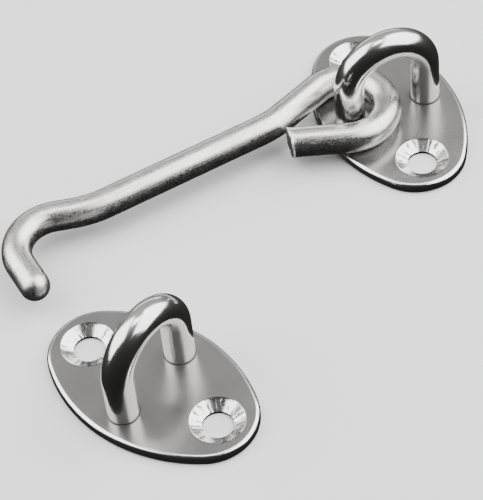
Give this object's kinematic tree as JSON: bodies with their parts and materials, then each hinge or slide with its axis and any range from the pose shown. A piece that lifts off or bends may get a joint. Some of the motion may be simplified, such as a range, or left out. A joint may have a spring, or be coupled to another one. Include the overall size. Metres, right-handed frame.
{
  "type": "hook and eye latch",
  "caption": "Round-bar hook whose closed eye swings on a staple on an oval screw plate, with an open end that reaches round the leg of a matching staple on a loose oval plate.",
  "frame": {"origin": "middle of the pivot plate's back face, which lies on the surface it is screwed to", "axes": "+Z out of that surface, X along the line of the pivot staple's legs with the hook running off toward -X, Y along the pivot plate's line of screw holes"},
  "size_m": [0.0989, 0.0853, 0.0225],
  "materials": {
    "plate": "satin stainless sheet with a polished rim",
    "staple": "mirror-polished stainless bar",
    "hook_bar": "stainless bar brushed along its length"
  },
  "bodies": {
    "base": {"pivot_plate": "plate", "pivot_staple": "staple", "catch_plate": "plate", "catch_staple": "staple"},
    "hook": {"hook_arm": "hook_bar"}
  },
  "joints": [
    {"name": "hook_swing", "type": "hinge", "parent": "base", "child": "hook", "pos_m": [-0.00825, 0, 0.0053], "axis": [0, 0, 1], "range_deg": [-128, 30.8]}
  ]
}
